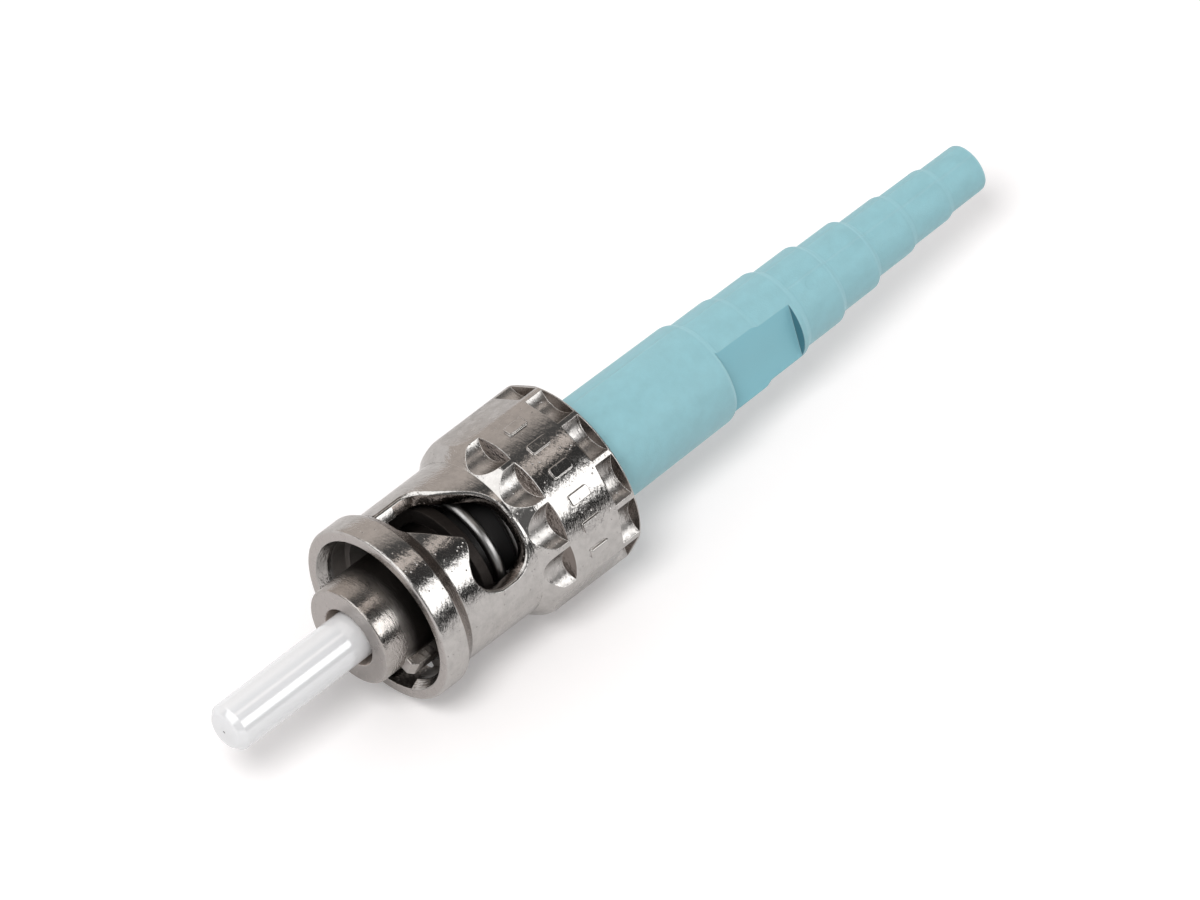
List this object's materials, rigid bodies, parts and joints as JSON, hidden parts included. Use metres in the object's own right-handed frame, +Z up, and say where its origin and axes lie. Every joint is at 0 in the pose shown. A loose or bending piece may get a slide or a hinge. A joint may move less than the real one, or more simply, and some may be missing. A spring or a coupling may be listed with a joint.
{
  "type": "bayonet fibre connector",
  "caption": "Straight bayonet-coupled optical fibre connector with a white ceramic ferrule, a keyed barrel, a spring-loaded nickel nut and a stepped aqua boot.",
  "frame": {"origin": "on the connector's axis, in the plane of the keyed barrel's front face", "axes": "+X along the axis and out of the ferrule tip, +Z up with the connector lying on its side"},
  "size_m": [0.0494, 0.01, 0.01],
  "materials": {
    "ferrule_ceramic": "polished white ceramic",
    "fibre_glass": "clear",
    "barrel_nickel": "nickel plate over metal",
    "nut_nickel": "bright nickel plate over a die casting",
    "spring_steel": "dark spring wire",
    "washer_steel": "plain steel",
    "holder_plastic": "dark moulded",
    "splice_plastic": "moulded",
    "cam_plastic": "moulded",
    "crimp_metal": "soft plated metal",
    "boot_rubber": "satin aqua elastomer"
  },
  "bodies": {
    "connector_body": {"ferrule": "ferrule_ceramic", "fibre_stub": "fibre_glass", "keyed_barrel": "barrel_nickel", "spring": "spring_steel", "snap_ring": "washer_steel", "ferrule_holder": "holder_plastic", "splice_base": "splice_plastic", "splice_keel": "splice_plastic", "lead_in_tube": "holder_plastic", "crimp_ring": "crimp_metal", "boot": "boot_rubber"},
    "nut_carrier": {"thrust_washer": "washer_steel"},
    "nut": {"coupling_nut": "nut_nickel"},
    "cam": {"cam_sleeve": "cam_plastic"}
  },
  "joints": [
    {"name": "nut_slide", "type": "slide", "parent": "connector_body", "child": "nut_carrier", "axis": [1, 0, 0], "range_m": [0, 0.0018], "stiffness_N_per_m": 100, "deforming": ["spring"]},
    {"name": "nut_turn", "type": "hinge", "parent": "nut_carrier", "child": "nut", "pos_m": [-0.0124, 0, 0], "axis": [1, 0, 0], "continuous": true},
    {"name": "cam_turn", "type": "hinge", "parent": "connector_body", "child": "cam", "pos_m": [-0.018, 0, 0], "axis": [1, 0, 0], "range_deg": [0, 90]}
  ]
}
